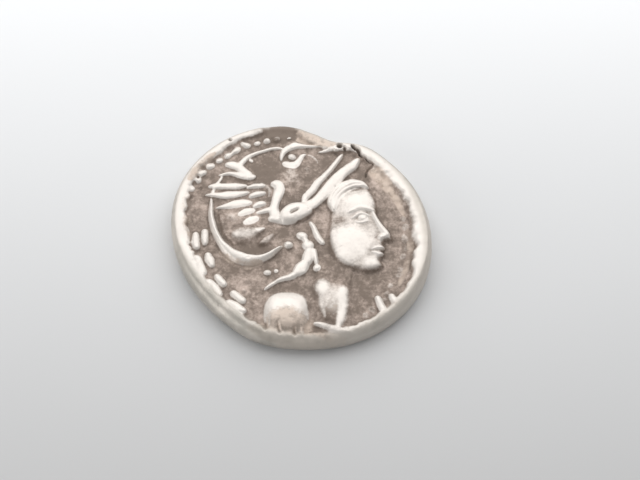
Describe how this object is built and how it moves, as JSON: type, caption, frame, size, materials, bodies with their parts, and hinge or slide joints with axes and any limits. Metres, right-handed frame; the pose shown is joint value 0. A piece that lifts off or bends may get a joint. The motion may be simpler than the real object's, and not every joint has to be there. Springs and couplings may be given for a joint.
{
  "type": "denarius coin",
  "caption": "Small worn silver coin, struck by hand: an uneven round flan with a helmeted head in relief on one side and a two-horse chariot on the other.",
  "frame": {"origin": "middle of the flan's bounding box, on the plane that the worn land of the reverse rests on", "axes": "+Z up through the obverse, +X right and +Y up on the obverse's design"},
  "size_m": [0.0188, 0.0181, 0.0021],
  "materials": {
    "silver": "worn struck silver, bright on the high points, brown-grey toning in the hollows"
  },
  "bodies": {
    "root": {"coin": "silver"}
  },
  "joints": []
}
